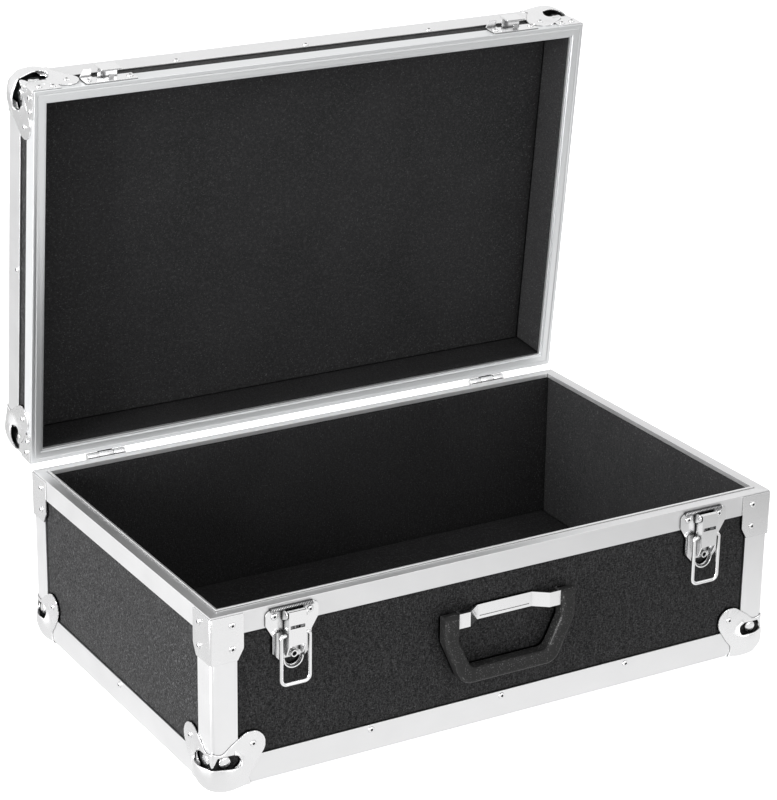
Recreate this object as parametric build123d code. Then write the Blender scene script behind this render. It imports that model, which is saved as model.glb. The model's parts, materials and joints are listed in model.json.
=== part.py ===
from build123d import *
import os
from math import cos, radians, sin

# A hard carrying case for guitar pedals: a deep plywood base and a shallow lid, both lined with
# foam, edged with aluminium, guarded by pressed steel ball corners, hinged at the back and shut
# by two draw latches, with a carrying handle on the front.
# Millimetres, +Z up. The origin is the middle of the base's outline at floor level; the front is -Y.

# ---- the box ------------------------------------------------------------------------------------
case_w = 560.0         # width over the edging, along X
case_d = 355.0         # depth over the edging, along Y
base_h = 158.0         # underside of the base's edging to the parting plane
lid_h = 55.0           # lid's rim plane to the top of its edging
part_gap = 0.5         # gap between the two rims when the lid is shut
panel_t = 7.0          # plywood panels
lining_t = 3.5         # foam on the walls
pad_t = 4.0            # foam on the floor of the base and inside the top of the lid
pad_clear = 0.3        # between a pad and the wall lining
lid_open = 84.0        # angle of the lid at rest, counted from shut

# ---- aluminium edging and rim profiles ----------------------------------------------------------
edging_leg = 25.5      # width of each leg of the angle along the top and bottom edges
upright_leg = 24.0     # the same of the angle up each corner
edging_t = 1.5         # its thickness
edging_round = 3.0     # its outside corner radius
edging_stop = 31.0     # where it ends under the ball corners, from the corner
rim_leg = 19.5         # outside leg of the base's rim profile
lid_rim_leg = 15.5     # the same on the lid
rim_web = 2.0          # metal over the edge of the wall panel
nose_h = 3.0           # inside leg of the rim profile
lip_h = 1.2            # tongue on the base's rim
lip_w = 1.8            # its width
lip_clear = 0.5        # air over and beside the tongue when the lid is shut
groove_w = 1.0         # decorative groove beside the tongue, and on the lid's rim
groove_t = 0.5         # its depth
lid_groove_in = 3.2    # inset of the groove on the lid's rim

# ---- ball corners -------------------------------------------------------------------------------
ball_r = 24.0          # outside radius of the ball
ball_proud = 8.0       # how far it stands out from the faces
ball_t = 1.5           # metal of the ball
ball_mouth = 22.0      # where the ball opens round each edge, from the corner
ball_clear = 0.3       # between the ball and the trimmed corner inside it
lobe_t = 1.2           # metal of the three lobes
lobe_reach = 37.5      # centre of the lobe's tip, from both edges
lobe_tip_r = 11.5      # radius of the tip
lobe_root = 26.0       # centre of the lobe's root, from both edges
lobe_root_r = 16.0     # radius of the root
skirt = 36.0           # how far the sheet follows each edge
bridge_half = 7.0      # half width of the slope from the ball to each lobe
eye_at = (12.0, 25.5)  # centre of the opening beside each edge: across the edge, along the edge
eye_rivet = (4.3, 2.2) # radius and height of the rivets inside those openings
eye_half = (9.5, 4.5)  # its half length and half height

# ---- corner braces ------------------------------------------------------------------------------
brace_t = 1.2
brace_drop = 1.5       # from the rim plane to the top of the brace
brace_base = (29.5, 42.0)   # reach along the rim, reach down the corner
brace_lid = (26.0, 24.0)
brace_chamfer = (5.5, 10.0) # cut off its lower outer corner, along the rim and down
brace_round = 2.0      # outside radius over the corner
brace_bend = 5.0       # rounding where the side turns into the chamfer
brace_lobe_gap = 0.5   # between a lid brace and the lobe beside it
brace_base_rivets = ((19.0, 10.0), (19.0, 31.0))    # along the rim, down the corner
brace_lid_rivets = ((8.0, 8.5), (20.0, 6.5))

# ---- rivets -------------------------------------------------------------------------------------
rivet_r = 2.9
rivet_h = 1.2
edging_rivet_gap = 130.0    # between the rivets along an edge
edging_rivet_in = 4.5       # from the edge of the leg

# ---- hinges -------------------------------------------------------------------------------------
hinge_in = 74.0        # hinge centres, from the ends of the case
hinge_out = 4.3        # axis behind the back face
leaf_w = 38.0
leaf_h = 19.0
leaf_t = 1.5
leaf_start = 2.4       # leaf's edge to the axis
barrel_r = 3.3
hinge_pin_r = 2.0
hinge_pin_clear = 0.05
knuckle_w = 14.0       # the lid's middle knuckle
knuckle_gap = 0.4

# ---- draw latches -------------------------------------------------------------------------------
latch_in = 73.5        # latch centres, from the ends of the case
latch_drop = 4.5       # parting plane to the top of the latch plate
plate_half = 24.5      # half width of the latch plate at the top
plate_waist = 18.0     # half width at the waist
plate_foot_r = 9.5     # radius of the rounded foot
plate_len = 54.5
plate_shoulder = 13.0  # top to where the plate narrows
plate_neck = 24.0      # top to where it reaches its waist
plate_side = 39.0      # top to where its sides turn in to the foot
plate_round = 5.0      # its two upper corners
plate_t = 1.5
dish_h = 2.5           # raised rim round the foot
dish_t = 1.1           # metal of that rim
foot_hole_r = 7.0      # half-round opening in the foot
plate_roll = (-0.2, 1.75)   # middle of the rolled top edge: height, and depth from the front face
plate_roll_r = 1.5
plate_roll_half = 20.0
latch_pin = (-4.0, 7.5)     # height below the plate's top, and depth from the front face
latch_pin_r = 1.5
latch_pin_clear = 0.05
ear_in = 8.6           # inner face of each pin ear
ear_t = 1.3
ear_r = 3.2
lever_half = 8.1       # half width of the lever
lever_t = 1.2
lever_barrel_r = 3.2
lever_front = 11.4     # outer face of the lever, from the front face
lever_len = 31.0       # plate's top to the bottom of the channel
lever_rise = 3.4       # top of the channel above the pin
lever_back = 2.8       # inner edge of the channel's sides, from the front face
lever_slot = (-14.3, 3.0, 6.7)   # height, width and half length of the slot in the lever
lever_prong = (41.0, 6.5)   # plate's top to the tips of the channel's sides, and a tip's outer edge
bail_drop = 22.5       # plate's top to the bail's pivot
bail_len = 44.0        # pivot to crossbar
bail_half = 13.2       # half width over the wire's centres
bail_r = 1.8           # wire radius
bail_bend = (2.5, 5.0) # bends beside the lever, and at the crossbar
bail_tail = 6.0        # half gap between the wire's two ends
latch_rivet = (16.5, -6.0)  # upper rivets, from the middle and the plate's top
foot_rivet_h = -41.0        # lower rivet
foot_rivet = (3.2, 1.6, 4.0, 0.8)    # its radius, bore and height, and the floor of the bore

# ---- catches on the lid -------------------------------------------------------------------------
catch_half = 24.3
catch_low = 2.0        # rim plane to the catch's lower edge
catch_high = 15.5
catch_t = 1.2
hook_half = 9.4        # half width of the raised hook, inside the bail
hook_t = 1.4
hook_low = 4.0         # rim plane to the open lower end of the hook
hook_clear = 0.3       # under the crossbar when latched
hook_face_clear = 0.5
hook_lip = 5.0         # how far the hook reaches over the crossbar
catch_post = (2.2, 1.4, 6.0)     # half width, thickness and height of the post inside the hook
catch_ear = (-23.5, -12.5, 3.5)  # ends of the folded ear, and the slope of its outer side
catch_ear_h = 7.5      # how far the ear stands out
catch_rivet_in = 4.6   # from the catch's end to the rivet

# ---- handle -------------------------------------------------------------------------------------
handle_z = 107.0       # pivot above the underside of the edging
strip_h = 13.5
strip_t = 2.0
strip_flat = 27.5      # half length of the flat middle
strip_slope = 12.5     # length of each slanted part along X
strip_tab = 11.0       # length of each end tab
strip_out = 9.0        # tab's middle, from the front face
strip_groove = (2.6, 0.8, 0.4)   # groove in the flat: from its lower edge, width and depth
ear_back = 2.0         # inner edge of the folded ear, from the front face
grip_t = 14.0
grip_arm = 14.0
grip_gap = 0.5         # between an ear and the arm
grip_out = 6.5         # middle of the grip, from the front face
grip_drop = 60.0       # pivot to the bottom of the grip
grip_bar = 14.5
grip_foot = 47.0       # half width of the grip at its bottom
grip_foot_in = 38.3    # half width of the opening there
grip_knee = 18.0       # pivot down to where the arms turn inward
grip_edge = 4.0        # rounding of the grip's edges
grip_bend = 15.0       # rounding of its corners
grip_bend_in = 9.0     # rounding of the opening's corners
stud_r = 2.5
stud_len = 9.0
stud_clear = 0.08
screw_x = 18.0         # bracket screws, each side of the middle
screw_r = 2.0
screw_head_r = 4.0
screw_head_t = 2.0

# ---- derived ------------------------------------------------------------------------------------
rim_w = edging_t + panel_t + lining_t
front_y = -case_d / 2
hinge_x = case_w / 2 - hinge_in
hinge_y = case_d / 2 + hinge_out
hinge_z = base_h + part_gap / 2
latch_x = case_w / 2 - latch_in
recess = lip_h + lip_clear - part_gap
ball_in = ball_r - ball_proud
big = 2 * (case_w + case_d)

parts = {}


def span(x0, x1, y0, y1, z0, z1):
    """A box between two corners."""
    return Pos((x0 + x1) / 2, (y0 + y1) / 2, (z0 + z1) / 2) * Box(x1 - x0, y1 - y0, z1 - z0)


def rod(radius, x0, x1, y=0.0, z=0.0):
    """A cylinder along X."""
    return Pos((x0 + x1) / 2, y, z) * Rot(0, 90, 0) * Cylinder(radius, x1 - x0)


def across_x(points, half):
    """A (Y, Z) outline carried along X, as far each side of the middle."""
    outline = Plane.YZ * make_face(Polyline(*points, close=True))
    return extrude(outline, amount=half, both=True)


def solid(shape):
    """One shape from a boolean's result."""
    return shape.solids()[0] if len(shape.solids()) == 1 else shape


def rivet(radius=rivet_r, height=rivet_h):
    """A domed head that sits on the XY plane."""
    crown = (radius ** 2 + height ** 2) / (2 * height)
    dome = Pos(0, 0, height - crown) * Sphere(crown)
    return dome & span(-radius, radius, -radius, radius, 0, height)


def tube_rivet(radius, bore, height, bore_floor):
    """A tubular head that sits on the XY plane."""
    head = extrude(Circle(radius), amount=height)
    return head - Pos(0, 0, bore_floor) * extrude(Circle(bore), amount=height)


def group(shapes):
    """Several separate solids as one node."""
    return Compound([piece for shape in shapes for piece in shape.solids()])


# ---- straight profiles round the box ------------------------------------------------------------

SIDES = {
    "front": ((-1, -1), (1, 0), (0, 1), case_w),
    "back": ((1, 1), (-1, 0), (0, -1), case_w),
    "left": ((-1, 1), (0, -1), (1, 0), case_d),
    "right": ((1, -1), (0, 1), (-1, 0), case_d),
}


def profile_bar(side, outline, z):
    """A profile along one side, mitred at both ends. The outline is (inward, up) from the edge at z."""
    corner, along, inward, length = SIDES[side]
    start = (corner[0] * case_w / 2, corner[1] * case_d / 2, z)
    section = Plane(origin=start, x_dir=(*inward, 0), z_dir=(*along, 0)) * outline
    bar = extrude(section, amount=length)
    deep = edging_leg + 1
    mitre = make_face(Polyline((0, 0), (length, 0), (length - deep, deep), (deep, deep), close=True))
    below = Plane(origin=(*start[:2], -big / 2), x_dir=(*along, 0), z_dir=(0, 0, 1))
    return solid(bar & extrude(below * mitre, amount=big))


def angle_outline(leg):
    """An L section with its outside corner at the origin, rounded."""
    outline = make_face(Polyline(
        (0, 0), (leg, 0), (leg, edging_t), (edging_t, edging_t), (edging_t, leg), (0, leg), close=True))
    outer = outline.vertices().sort_by_distance((0, 0, 0))[0]
    return fillet(outline.vertices().filter_by(lambda v: v.X == outer.X and v.Y == outer.Y), edging_round)


def base_rim_outline():
    """Outside leg, web, inside leg and tongue; height 0 is the parting plane."""
    tongue = rim_w - lip_w
    inner = edging_t + panel_t
    return make_face(Polyline(
        (0, -rim_leg), (edging_t, -rim_leg), (edging_t, -rim_web), (inner, -rim_web), (inner, -nose_h),
        (rim_w, -nose_h), (rim_w, lip_h), (tongue, lip_h), (tongue, -groove_t),
        (tongue - groove_w, -groove_t), (tongue - groove_w, 0), (0, 0), close=True))


def lid_rim_outline():
    """The same with a recess for the tongue, and a groove along its land."""
    step = rim_w - lip_w - lip_clear
    inner = edging_t + panel_t
    seat = recess + rim_web
    return make_face(Polyline(
        (0, -lid_rim_leg), (edging_t, -lid_rim_leg), (edging_t, -seat), (inner, -seat),
        (inner, -recess - nose_h),
        (rim_w, -recess - nose_h), (rim_w, -recess), (step, -recess), (step, 0),
        (lid_groove_in + groove_w, 0), (lid_groove_in + groove_w, -groove_t),
        (lid_groove_in, -groove_t), (lid_groove_in, 0), (0, 0), close=True))


# ---- corner pieces, built at the corner with the box in the positive octant -----------------------

def at_corner(shape, x_side, y_side):
    """Carries a front left corner piece to one of the four corners."""
    moved = Pos(-case_w / 2, -case_d / 2, 0) * shape
    if x_side > 0:
        moved = mirror(moved, about=Plane.YZ)
    if y_side > 0:
        moved = mirror(moved, about=Plane.XZ)
    return moved


CORNERS = {
    "front_left": (-1, -1), "front_right": (1, -1), "back_left": (-1, 1), "back_right": (1, 1),
}


def thrice(shape):
    """The shape and its two copies round the corner's diagonal."""
    axis = Axis((0, 0, 0), (1, 1, 1))
    return [shape, shape.rotate(axis, 120), shape.rotate(axis, 240)]


def ball_hollow():
    """The inside of the ball, where the corner of the box is trimmed to fit."""
    return Pos(ball_in, ball_in, ball_in) * Sphere(ball_r - ball_t - ball_clear)


def corner_trim():
    """What is cut off the closed panel at the very corner."""
    return span(-1, ball_in, -1, ball_in, -1, ball_in) - ball_hollow()


def rounded_block(grow):
    """The box's corner, its three edges rounded, grown outward."""
    block = span(-grow, big / 4, -grow, big / 4, -grow, big / 4)
    edges = [e for e in block.edges() if len([c for c in tuple(e.center()) if abs(c + grow) < 1e-6]) == 2]
    return fillet(edges, edging_round + grow)


def lobe_sheet(grow=0.0):
    """Outline of the sheet on one face, in the XY plane; it wraps the edges by its own thickness."""
    tip = Pos(lobe_reach, lobe_reach) * Circle(lobe_tip_r + grow)
    root = Pos(lobe_root, lobe_root) * Circle(lobe_root_r + grow)
    tongue = make_hull(tip.edges() + root.edges())
    wrap, reach = lobe_t + grow, skirt + grow
    skirts = make_face(Polyline(
        (-wrap, -wrap), (reach, -wrap), (reach, 0), (lobe_root, lobe_root), (0, reach), (-wrap, reach),
        close=True))
    return tongue + skirts


def eye_outline():
    """The opening beside an edge, as a lens in the XY plane; the edge runs along Y."""
    radius = (eye_half[0] ** 2 + eye_half[1] ** 2) / (2 * eye_half[1])
    low = Pos(eye_at[0], eye_at[1] + eye_half[1] - radius) * Circle(radius)
    high = Pos(eye_at[0], eye_at[1] - eye_half[1] + radius) * Circle(radius)
    return low & high


def ball_corner():
    """Ball, three lobes and the openings round the three edges, as one pressing."""
    centre = Pos(ball_in, ball_in, ball_in)
    mouth_box = span(-ball_proud, ball_mouth, -ball_proud, ball_mouth, -ball_proud, ball_mouth)
    bridge = Pos(ball_in, ball_in) * Rot(0, 0, 45) * Pos(ball_r / 2, 0) * Rectangle(ball_r, 2 * bridge_half)
    kept = mouth_box
    for piece in thrice(extrude(bridge, amount=-ball_proud)):
        kept = kept + piece
    ball = (centre * Sphere(ball_r)) & kept
    sheet = extrude(lobe_sheet(), amount=-lobe_t)
    eye = extrude(eye_outline(), amount=-lobe_t)
    eye_across = eye.mirror(Plane(origin=(0, 0, 0), z_dir=(1, -1, 0)))
    sheets = sheet
    for piece in thrice(sheet)[1:]:
        sheets = sheets + piece
    for hole in thrice(eye) + thrice(eye_across):
        sheets = sheets - hole
    sheets = (sheets & rounded_block(lobe_t)) - mouth_box
    pressing = (ball + sheets) - centre * Sphere(ball_r - ball_t) - (rounded_block(0) - corner_trim())
    return max(pressing.solids(), key=lambda s: s.volume)


def brace(reach, down, rim_z, cut_lobe=False):
    """An angle plate over the corner of the rim; rim_z is the rim plane above the closed face."""
    far, low = reach - brace_chamfer[0], down - brace_chamfer[1]
    outline = make_face(Polyline(
        (-brace_t, -brace_drop), (reach, -brace_drop), (reach, -max(low, down / 2)), (far, -down),
        (-brace_t, -down), close=True))
    bends = [v for v in outline.vertices() if abs(v.X - reach) < 1e-6 and v.Y < -brace_drop - 1e-6]
    outline = fillet(bends, min(brace_bend, brace_chamfer[1] / 2))
    if cut_lobe:
        outline = outline - Pos(0, -rim_z) * lobe_sheet(brace_lobe_gap)
    face = Plane(origin=(0, 0, rim_z), x_dir=(1, 0, 0), z_dir=(0, -1, 0))
    on_front = extrude(face * outline, amount=brace_t)
    on_side = on_front.mirror(Plane(origin=(0, 0, 0), z_dir=(1, -1, 0)))
    plate = max((on_front + on_side).solids(), key=lambda s: s.volume)
    corner = span(-brace_t, big / 4, -brace_t, big / 4, -big / 4, big / 4)
    fold = corner.edges().filter_by(Axis.Z).sort_by_distance((0, 0, 0))[0]
    return solid(plate & fillet(fold, brace_round))


# ---- one lined tray, used for the base and, upside down, for the lid -------------------------------

def tray(depth, leg, seat, nose, rim_outline, brace_size, cut_lobe):
    """All pieces of a tray whose closed face is at z = 0 and whose rim plane is at z = depth."""
    x_out, y_out = case_w / 2 - edging_t, case_d / 2 - edging_t
    x_wall, y_wall = x_out - panel_t, y_out - panel_t
    x_lined, y_lined = x_wall - lining_t, y_wall - lining_t
    floor_z = edging_t + panel_t
    wall_top = depth - seat
    pieces = {}

    trims = [at_corner(corner_trim(), *signs) for signs in CORNERS.values()]
    floor = span(-x_out, x_out, -y_out, y_out, edging_t, floor_z)
    for trim in trims:
        floor = floor - trim
    pieces["closed_panel"] = solid(floor)
    walls = {
        "front_panel": (-x_out, x_out, -y_out, -y_wall),
        "back_panel": (-x_out, x_out, y_wall, y_out),
        "left_panel": (-x_out, -x_wall, -y_wall, y_wall),
        "right_panel": (x_wall, x_out, -y_wall, y_wall),
    }
    for name, bounds in walls.items():
        pieces[name] = span(*bounds, floor_z, wall_top)

    inset_x, inset_y = x_lined - pad_clear, y_lined - pad_clear
    pieces["pad"] = span(-inset_x, inset_x, -inset_y, inset_y, floor_z, floor_z + pad_t)
    lining_top = depth - nose
    pieces["wall_lining"] = group([
        span(-x_wall, x_wall, -y_wall, -y_lined, floor_z, lining_top),
        span(-x_wall, x_wall, y_lined, y_wall, floor_z, lining_top),
        span(-x_wall, -x_lined, -y_lined, y_lined, floor_z, lining_top),
        span(x_lined, x_wall, -y_lined, y_lined, floor_z, lining_top),
    ])

    upright = extrude(angle_outline(upright_leg), amount=depth - leg - edging_stop)
    for name, signs in CORNERS.items():
        pieces["corner_edging_" + name] = solid(at_corner(Pos(0, 0, edging_stop) * upright, *signs))
    ends = span(-1, edging_stop, -1, edging_stop, -1, edging_stop)
    for side in SIDES:
        bar = profile_bar(side, angle_outline(edging_leg), 0)
        for signs in CORNERS.values():
            bar = bar - at_corner(ends, *signs)
        pieces["edging_" + side] = solid(bar)
        pieces["rim_" + side] = profile_bar(side, rim_outline(), depth)

    pressing = ball_corner()
    for name, signs in CORNERS.items():
        pieces["ball_corner_" + name] = solid(at_corner(pressing, *signs))
    plate = brace(*brace_size, depth, cut_lobe)
    pieces["braces"] = group([at_corner(plate, *signs) for signs in CORNERS.values()])
    return pieces


def tray_rivets(depth, brace_spots):
    """Rivet heads of the ball corners, the braces and the long edging."""
    on_front = Plane(origin=(0, 0, 0), x_dir=(1, 0, 0), z_dir=(0, -1, 0))
    swap = Plane(origin=(0, 0, 0), z_dir=(1, -1, 0))
    at_one = []
    tip = on_front * Pos(lobe_reach, lobe_reach, lobe_t) * rivet()
    at_one += thrice(tip)
    in_eye = on_front * Pos(*eye_at, -edging_t) * rivet(*eye_rivet)
    at_one += [in_eye, in_eye.mirror(swap)]
    for along, down in brace_spots:
        head = on_front * Pos(along, depth - down, brace_t) * rivet()
        at_one += [head, head.mirror(swap)]
    heads = [at_corner(head, *signs) for signs in CORNERS.values() for head in at_one]
    level = edging_leg - edging_rivet_in
    spots = [-edging_rivet_gap, 0, edging_rivet_gap]
    for x in spots:
        head = Plane(origin=(x, front_y, level), x_dir=(1, 0, 0), z_dir=(0, -1, 0)) * rivet()
        heads += [head, mirror(head, about=Plane.XZ)]
    head = Plane(origin=(-case_w / 2, 0, level), x_dir=(0, 1, 0), z_dir=(-1, 0, 0)) * rivet()
    heads += [head, mirror(head, about=Plane.YZ)]
    return heads


# ---- hinges, built on the back face with the axis at the local origin ------------------------------

def hinge_leaf(up):
    """One leaf with its knuckles; up is +1 on the lid and -1 on the base."""
    half = leaf_w / 2
    low, high = sorted((up * leaf_start, up * leaf_h))
    leaf = span(-half, half, -hinge_out, leaf_t - hinge_out, low, high)
    middle = knuckle_w / 2
    outer = middle + knuckle_gap
    spans = [(-middle, middle)] if up > 0 else [(-half, -outer), (outer, half)]
    for x0, x1 in spans:
        web_low, web_high = sorted((up * barrel_r, up * (barrel_r - leaf_t)))
        web = span(x0, x1, -hinge_out, 0, web_low, web_high)
        leaf = leaf + web + rod(barrel_r, x0, x1)
    return solid(leaf - rod(hinge_pin_r + hinge_pin_clear, -leaf_w, leaf_w))


def at_hinges(shape):
    return [Pos(side * hinge_x, hinge_y, hinge_z) * shape for side in (-1, 1)]


def leaf_rivets(up):
    level = up * (leaf_start + leaf_h) / 2
    spots = [side * leaf_w / 4 for side in (-1, 1)]
    face = [Plane(origin=(x, leaf_t - hinge_out, level), x_dir=(-1, 0, 0), z_dir=(0, 1, 0)) for x in spots]
    return [head for plane in face for head in at_hinges(plane * rivet())]


# ---- draw latch, in its own frame: x across, y up from the plate's top, z out from the front face --

def latch_frame(x, level):
    return Plane(origin=(x, front_y, level), x_dir=(1, 0, 0), z_dir=(0, -1, 0))


def latch_plate():
    """Riveted plate with a dished foot and two ears for the lever's pin."""
    shoulder, neck, side, foot = -plate_shoulder, -plate_neck, -plate_side, -plate_len + plate_foot_r
    outline = make_face(Polyline(
        (-plate_half, 0), (plate_half, 0), (plate_half, shoulder), (plate_waist, neck),
        (-plate_waist, neck), (-plate_half, shoulder), close=True))
    outline = fillet(outline.vertices().group_by(Axis.Y)[-1], plate_round)
    waist = make_face(Polyline(
        (-plate_waist, neck), (plate_waist, neck), (plate_waist, side), (-plate_waist, side), close=True))
    outline = outline + make_hull(waist.edges() + (Pos(0, foot) * Circle(plate_foot_r)).edges())
    plate = extrude(outline, amount=plate_t)
    dish = Pos(0, foot, plate_t / 2) * (Circle(plate_foot_r) - Circle(plate_foot_r - dish_t))
    lower = span(-plate_half, plate_half, -big, foot, 0, plate_t + dish_h)
    plate = plate + (extrude(dish, amount=plate_t / 2 + dish_h) & lower)
    opening = extrude(Pos(0, foot) * Circle(foot_hole_r), amount=plate_t)
    plate = plate - (opening & span(-plate_half, plate_half, -big, foot, 0, plate_t))
    plate = plate + rod(plate_roll_r, -plate_roll_half, plate_roll_half, *plate_roll)
    level, depth = latch_pin
    ear = make_hull((Pos(level, depth) * Circle(ear_r)).edges() + make_face(Polyline(
        (level - 2 * ear_r, plate_t), (level + ear_r, plate_t), (level + ear_r, plate_t / 2),
        (level - 2 * ear_r, plate_t / 2), close=True)).edges())
    for side in (-1, 1):
        at = side * (ear_in + ear_t / 2)
        plate = plate + Pos(at, 0, 0) * extrude(Plane.YZ * ear, amount=ear_t / 2, both=True)
    return solid(plate - rod(latch_pin_r + latch_pin_clear, -plate_half, plate_half, *latch_pin))


def latch_lever():
    """Channel with a knuckle round the pin and a slot, whose sides run on as two prongs."""
    level, depth = latch_pin
    tip, tip_front = lever_prong
    root = -lever_len + lever_t
    prong = [(root, lever_back), (root, lever_front), (-lever_len, lever_front), (-tip, tip_front),
             (-tip, lever_back)]
    top = level + lever_rise
    web = span(-lever_half, lever_half, -lever_len, top, lever_front - lever_t, lever_front)
    lever = web + rod(lever_barrel_r, -lever_half, lever_half, level, depth)
    for side in (-1, 1):
        x0, x1 = sorted((side * lever_half, side * (lever_half - lever_t)))
        lever = lever + span(x0, x1, -lever_len, level, lever_back, lever_front)
        lever = lever + Pos((x0 + x1) / 2, 0, 0) * across_x(prong, lever_t / 2)
    slot_y, slot_w, slot_half = lever_slot
    lever = lever - span(-slot_half, slot_half, slot_y - slot_w / 2, slot_y + slot_w / 2, depth, big)
    lever = lever - rod(latch_pin_r + latch_pin_clear, -plate_half, plate_half, level, depth)
    lever = lever - rod(bail_r + latch_pin_clear, -plate_half, plate_half, -bail_drop, depth)
    return solid(lever)


def latch_bail():
    """Wire loop that hangs from the lever and hooks over the lid's catch."""
    depth = latch_pin[1]
    low = -bail_drop - bail_len
    path = FilletPolyline(
        (-bail_tail, -bail_drop, depth), (-bail_half, -bail_drop, depth), (-bail_half, low, depth),
        (bail_half, low, depth), (bail_half, -bail_drop, depth), (bail_tail, -bail_drop, depth),
        radius=[bail_bend[0], bail_bend[1], bail_bend[1], bail_bend[0]])
    start = Plane(origin=(-bail_tail, -bail_drop, depth), z_dir=(-1, 0, 0))
    return solid(sweep(start * Circle(bail_r), path=path))


def catch():
    """Plate, raised hook and ear on the lid, in the frame of its front face and rim plane when shut."""
    crossbar = bail_len - bail_drop - part_gap - latch_drop
    seat = crossbar - bail_r - hook_clear
    wire_out = latch_pin[1] + bail_r + hook_face_clear
    plate = span(-catch_half, catch_half, catch_low, catch_high, 0, catch_t)
    shelf = span(-hook_half, hook_half, seat - hook_t, seat, 0, wire_out + hook_t)
    roof = span(-hook_half, hook_half, hook_low, seat + hook_lip, wire_out, wire_out + hook_t)
    post_half, post_t, post_h = catch_post
    post = span(-post_half, post_half, hook_low, hook_low + post_t, 0, post_h)
    ear_out, ear_in_end, slope = catch_ear
    ear_low = crossbar + bail_r + hook_face_clear
    wing = span(ear_out, ear_in_end, catch_low, ear_low + catch_t, 0, catch_t)
    ear = Plane(origin=(0, ear_low, 0), x_dir=(1, 0, 0), z_dir=(0, 1, 0)) * make_face(Polyline(
        (ear_out, 0), (ear_in_end, 0), (ear_in_end, -catch_ear_h), (ear_out + slope, -catch_ear_h),
        close=True))
    return solid(plate + shelf + roof + post + wing + extrude(ear, amount=catch_t))


# ---- handle, in the same kind of frame with its pivot at y = 0 ------------------------------------

def handle_bracket():
    """Chromed strip: flat middle on the panel, slanted out to two tabs with folded ears."""
    half = strip_t / 2
    mid = half - edging_t
    knots = [(strip_flat, mid), (strip_flat + strip_slope, strip_out),
             (strip_flat + strip_slope + strip_tab, strip_out)]
    line = [(-x, d) for x, d in reversed(knots)] + knots
    outline = [(x, d + half) for x, d in line] + [(x, d - half) for x, d in reversed(line)]
    strip = extrude(Plane.XZ * make_face(Polyline(*outline, close=True)), amount=strip_h / 2, both=True)
    end = strip_flat + strip_slope + strip_tab
    for side in (-1, 1):
        x0, x1 = sorted((side * end, side * (end - strip_t)))
        strip = strip + span(x0, x1, -strip_h / 2, strip_h / 2, ear_back, strip_out + half)
    for side in (-1, 1):
        strip = strip - Pos(side * screw_x, 0, 0) * Cylinder(screw_r, 4 * strip_t)
    from_edge, width, depth = strip_groove
    low, reach, face = from_edge - strip_h / 2, strip_flat - from_edge, mid + half
    return solid(strip - span(-reach, reach, low, low + width, face - depth, face + half))


def handle_stud():
    end = strip_flat + strip_slope + strip_tab
    return rod(stud_r, end, end + stud_len, 0, grip_out)


def handle_screw():
    """Screw from inside the case: the head is sunk in the panel and the shank ends flush with the strip."""
    shank_end = strip_t - edging_t
    inside = -edging_t - panel_t
    shank = Pos(0, 0, (inside + shank_end) / 2) * Cylinder(screw_r, shank_end - inside)
    head = Pos(0, 0, inside + screw_head_t / 2) * Cylinder(screw_head_r, screw_head_t)
    return shank + head


def handle_grip():
    """Moulded grip: two arms that turn on the studs, and the bar between them."""
    arm_in = strip_flat + strip_slope + strip_tab + grip_gap
    arm_out = arm_in + grip_arm
    top = grip_t / 2
    outer = make_face(Polyline(
        (-arm_out, top), (arm_out, top), (arm_out, -grip_knee), (grip_foot, -grip_drop),
        (-grip_foot, -grip_drop), (-arm_out, -grip_knee), close=True))
    outer = fillet([v for v in outer.vertices() if v.Y < 0], grip_bend)
    floor = -grip_drop + grip_bar
    inner = make_face(Polyline(
        (-arm_in, 2 * top), (arm_in, 2 * top), (arm_in, -grip_knee), (grip_foot_in, floor),
        (-grip_foot_in, floor), (-arm_in, -grip_knee), close=True))
    inner = fillet([v for v in inner.vertices() if v.Y < 0], grip_bend_in)
    grip = Pos(0, 0, grip_out - grip_t / 2) * extrude(outer - inner, amount=grip_t)
    faces = grip.faces().sort_by(Axis.Z)
    rims = [e for face in (faces[0], faces[-1]) for e in face.edges()]
    grip = fillet([e for e in rims if e.center().Y < top - 0.01], grip_edge)
    round_top = rod(grip_t / 2, -arm_out, arm_out, 0, grip_out)
    below = span(-arm_out, arm_out, -2 * grip_drop, 0, grip_out - grip_t, grip_out + grip_t)
    grip = grip & (round_top + below)
    end = strip_flat + strip_slope + strip_tab
    for side in (-1, 1):
        x0, x1 = sorted((side * end, side * (end + stud_len + grip_gap)))
        grip = grip - rod(stud_r + stud_clear, x0, x1, 0, grip_out)
    return solid(grip)


# ---- assembly: the base stands on z = ball_proud, the lid is built shut and then turned open -------

def lid_shut(shape):
    """From the tray's frame, closed face down, to the shut lid."""
    return Pos(0, 0, base_h + part_gap + lid_h) * mirror(shape, about=Plane.XY)


def lid_turned(shape):
    """From the shut lid to its place at rest."""
    return Pos(0, hinge_y, hinge_z) * Rot(-lid_open, 0, 0) * Pos(0, -hinge_y, -hinge_z) * shape


def add(name, shape):
    parts[name] = Pos(0, 0, ball_proud) * shape


def add_lid(name, shape):
    add(name, lid_turned(shape))


handle_frame = latch_frame(0, handle_z)

base = tray(base_h, rim_leg, rim_web, nose_h, base_rim_outline, brace_base, False)
screws = [handle_frame * Pos(side * screw_x, 0, 0) * handle_screw() for side in (-1, 1)]
for screw in screws:
    base["front_panel"] = base["front_panel"] - screw
for name, shape in base.items():
    add("base_" + name.replace("closed_panel", "bottom_panel").replace("pad", "floor_pad"), shape)

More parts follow.
